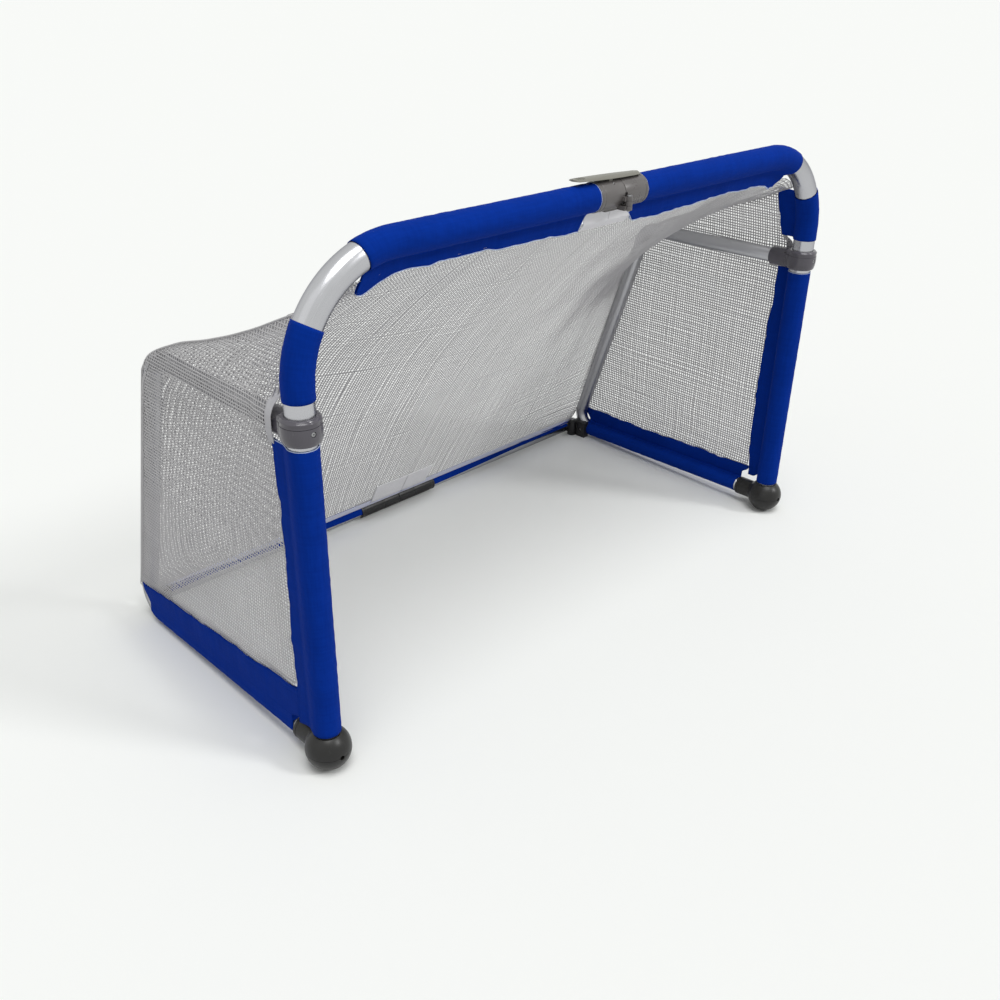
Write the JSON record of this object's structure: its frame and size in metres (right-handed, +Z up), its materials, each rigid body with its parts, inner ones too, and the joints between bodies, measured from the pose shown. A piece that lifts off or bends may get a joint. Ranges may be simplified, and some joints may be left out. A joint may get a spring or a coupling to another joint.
{
  "type": "folding soccer goal",
  "caption": "Small soccer goal with a tubular frame that folds flat at the middle of its crossbar and rear bar, with cloth sleeves and a net.",
  "frame": {"origin": "on the ground, at the middle of the goal's width and of its depth", "axes": "+X along the crossbar to the right as a player faces the mouth, +Y from the mouth to the rear, +Z up"},
  "size_m": [1.23, 0.6115, 0.7885],
  "materials": {
    "aluminium": "satin",
    "side_aluminium": "satin",
    "collar_plastic": "semi-gloss dark grey",
    "foot_plastic": "semi-gloss black",
    "hinge_grey": "satin grey",
    "lever_grey": "satin olive grey",
    "rear_plastic": "satin black",
    "pin_steel": "bright",
    "blue_cloth": "woven polyester",
    "net_white": "knotless white netting"
  },
  "bodies": {
    "left_side": {"left_side_tube": "side_aluminium", "left_foot": "foot_plastic", "left_collar": "collar_plastic", "left_foot_screw": "pin_steel", "left_collar_screw": "pin_steel", "left_bracket_screw": "pin_steel", "left_corner_bracket": "rear_plastic", "left_corner_pin": "pin_steel", "left_upright_sleeve": "blue_cloth", "left_ground_sleeve": "blue_cloth", "left_side_net": "net_white"},
    "front_left": {"left_front_tube": "aluminium", "crossbar_hinge_left": "hinge_grey", "crossbar_hinge_pin": "pin_steel", "lever_pin": "pin_steel", "lever_spring": "pin_steel", "left_crossbar_sleeve": "blue_cloth", "left_corner_sleeve": "blue_cloth", "left_back_net": "net_white"},
    "lock_lever": {"lock_lever": "lever_grey"},
    "front_right": {"right_front_tube": "aluminium", "crossbar_hinge_right": "hinge_grey", "right_crossbar_sleeve": "blue_cloth", "right_corner_sleeve": "blue_cloth", "right_back_net": "net_white"},
    "right_side": {"right_side_tube": "side_aluminium", "right_foot": "foot_plastic", "right_collar": "collar_plastic", "right_foot_screw": "pin_steel", "right_collar_screw": "pin_steel", "right_bracket_screw": "pin_steel", "right_corner_bracket": "rear_plastic", "right_corner_pin": "pin_steel", "right_upright_sleeve": "blue_cloth", "right_ground_sleeve": "blue_cloth", "right_side_net": "net_white"},
    "rear_left": {"left_rear_bar": "aluminium", "left_rear_end": "rear_plastic", "rear_hinge_left": "rear_plastic", "rear_hinge_pin": "pin_steel", "left_rear_strip": "blue_cloth"},
    "rear_right": {"right_rear_bar": "aluminium", "right_rear_end": "rear_plastic", "rear_hinge_right": "rear_plastic", "right_rear_strip": "blue_cloth"}
  },
  "joints": [
    {"name": "fold", "type": "hinge", "parent": "left_side", "child": "front_left", "pos_m": [-0.58, -0.271, 0], "axis": [0, 0, 1], "range_deg": [0, 85], "deforming": ["left_back_net"]},
    {"name": "crossbar_hinge", "type": "hinge", "parent": "front_left", "child": "front_right", "pos_m": [0, -0.299, 0.758], "axis": [0, 0, 1], "range_deg": [-170, 0], "deforming": ["right_back_net"]},
    {"name": "right_swivel", "type": "hinge", "parent": "front_right", "child": "right_side", "pos_m": [0.58, -0.271, 0], "axis": [0, 0, 1], "range_deg": [0, 85]},
    {"name": "rear_left_swivel", "type": "hinge", "parent": "left_side", "child": "rear_left", "pos_m": [-0.554, 0.271, 0], "axis": [0, 0, 1], "range_deg": [-88, 0]},
    {"name": "rear_hinge", "type": "hinge", "parent": "rear_left", "child": "rear_right", "pos_m": [0, 0.301, 0.0196], "axis": [0, 0, 1], "range_deg": [0, 176]},
    {"name": "lever_press", "type": "hinge", "parent": "front_left", "child": "lock_lever", "pos_m": [-0.02, -0.271, 0.776], "axis": [0, -1, 0], "range_deg": [0, 4], "stiffness_Nm_per_rad": 0.3, "deforming": ["lever_spring"]}
  ],
  "couplings": [
    {"joint": "crossbar_hinge", "follows": "fold", "ratio": -2},
    {"joint": "right_swivel", "follows": "fold", "ratio": 1},
    {"joint": "rear_left_swivel", "follows": "fold", "ratio": -1.0315},
    {"joint": "rear_hinge", "follows": "fold", "ratio": 2.063}
  ]
}
